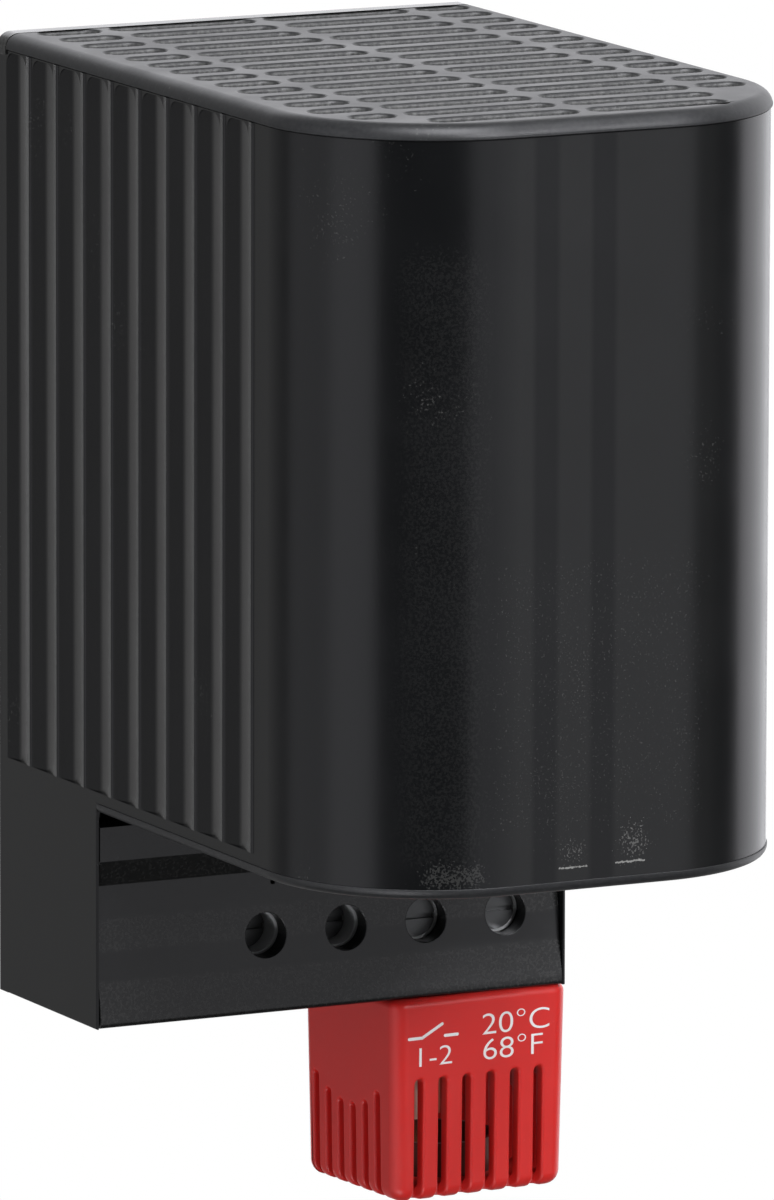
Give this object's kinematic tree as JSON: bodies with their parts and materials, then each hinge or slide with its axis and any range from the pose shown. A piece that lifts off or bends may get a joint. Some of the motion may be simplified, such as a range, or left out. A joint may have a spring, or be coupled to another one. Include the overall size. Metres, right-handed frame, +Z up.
{
  "type": "enclosure heater",
  "caption": "Touch-safe plastic enclosure heater for a 35 mm rail: slotted top grille, fluted sides, round front, banded terminal base and a plug-in slotted red thermostat.",
  "frame": {"origin": "middle of the rail seat: the plane of the clip that lies on the rail, at the height of the rail's centre", "axes": "+X to the right seen from the front and along the rail, +Y to the rear into the rail, +Z up"},
  "size_m": [0.061, 0.0965, 0.1354],
  "materials": {
    "black_plastic": "satin black moulded plastic",
    "grille_plastic": "satin dark grey moulded plastic",
    "red_plastic": "smooth red moulded plastic",
    "grey_plastic": "grey moulded insulation",
    "dark_insulator": "brown-black moulded insulation",
    "ceramic": "unglazed ceramic",
    "ptc_ceramic": "dark ceramic heating stone",
    "brass": "plain brass",
    "copper_alloy": "plain copper alloy leaf",
    "tinned_metal": "tinned sheet",
    "zinc_steel": "zinc-plated steel",
    "spring_steel": "spring steel sheet",
    "aluminium": "extruded aluminium",
    "film": "amber insulating film",
    "red_sheath": "silicone sheath",
    "blue_sheath": "silicone sheath"
  },
  "bodies": {
    "root": {"housing_shell": "black_plastic", "rear_plate": "black_plastic", "top_grille": "grille_plastic", "bottom_grille": "black_plastic", "terminal_panel": "black_plastic", "base_floor": "black_plastic", "terminal_block": "grey_plastic", "terminal_clamp_1": "brass", "terminal_clamp_2": "brass", "terminal_clamp_3": "brass", "terminal_clamp_4": "brass", "terminal_screws": "zinc_steel", "link_lead": "red_sheath", "neutral_lead": "blue_sheath", "switched_lead": "red_sheath", "heater_profile": "aluminium", "standoff_upper": "ceramic", "standoff_lower": "ceramic", "profile_screws": "zinc_steel", "insulation_sleeve": "film", "electrode_left": "aluminium", "electrode_right": "aluminium", "ptc_stones": "ptc_ceramic", "thermostat_housing": "red_plastic", "thermostat_lid": "red_plastic", "switch_base": "dark_insulator", "prong_left": "tinned_metal", "prong_right": "tinned_metal", "contact_leaf": "copper_alloy", "disc_cup": "aluminium", "bimetal_disc": "copper_alloy", "din_clip": "spring_steel", "clip_rivets": "zinc_steel", "housing_screws": "zinc_steel"}
  },
  "joints": []
}
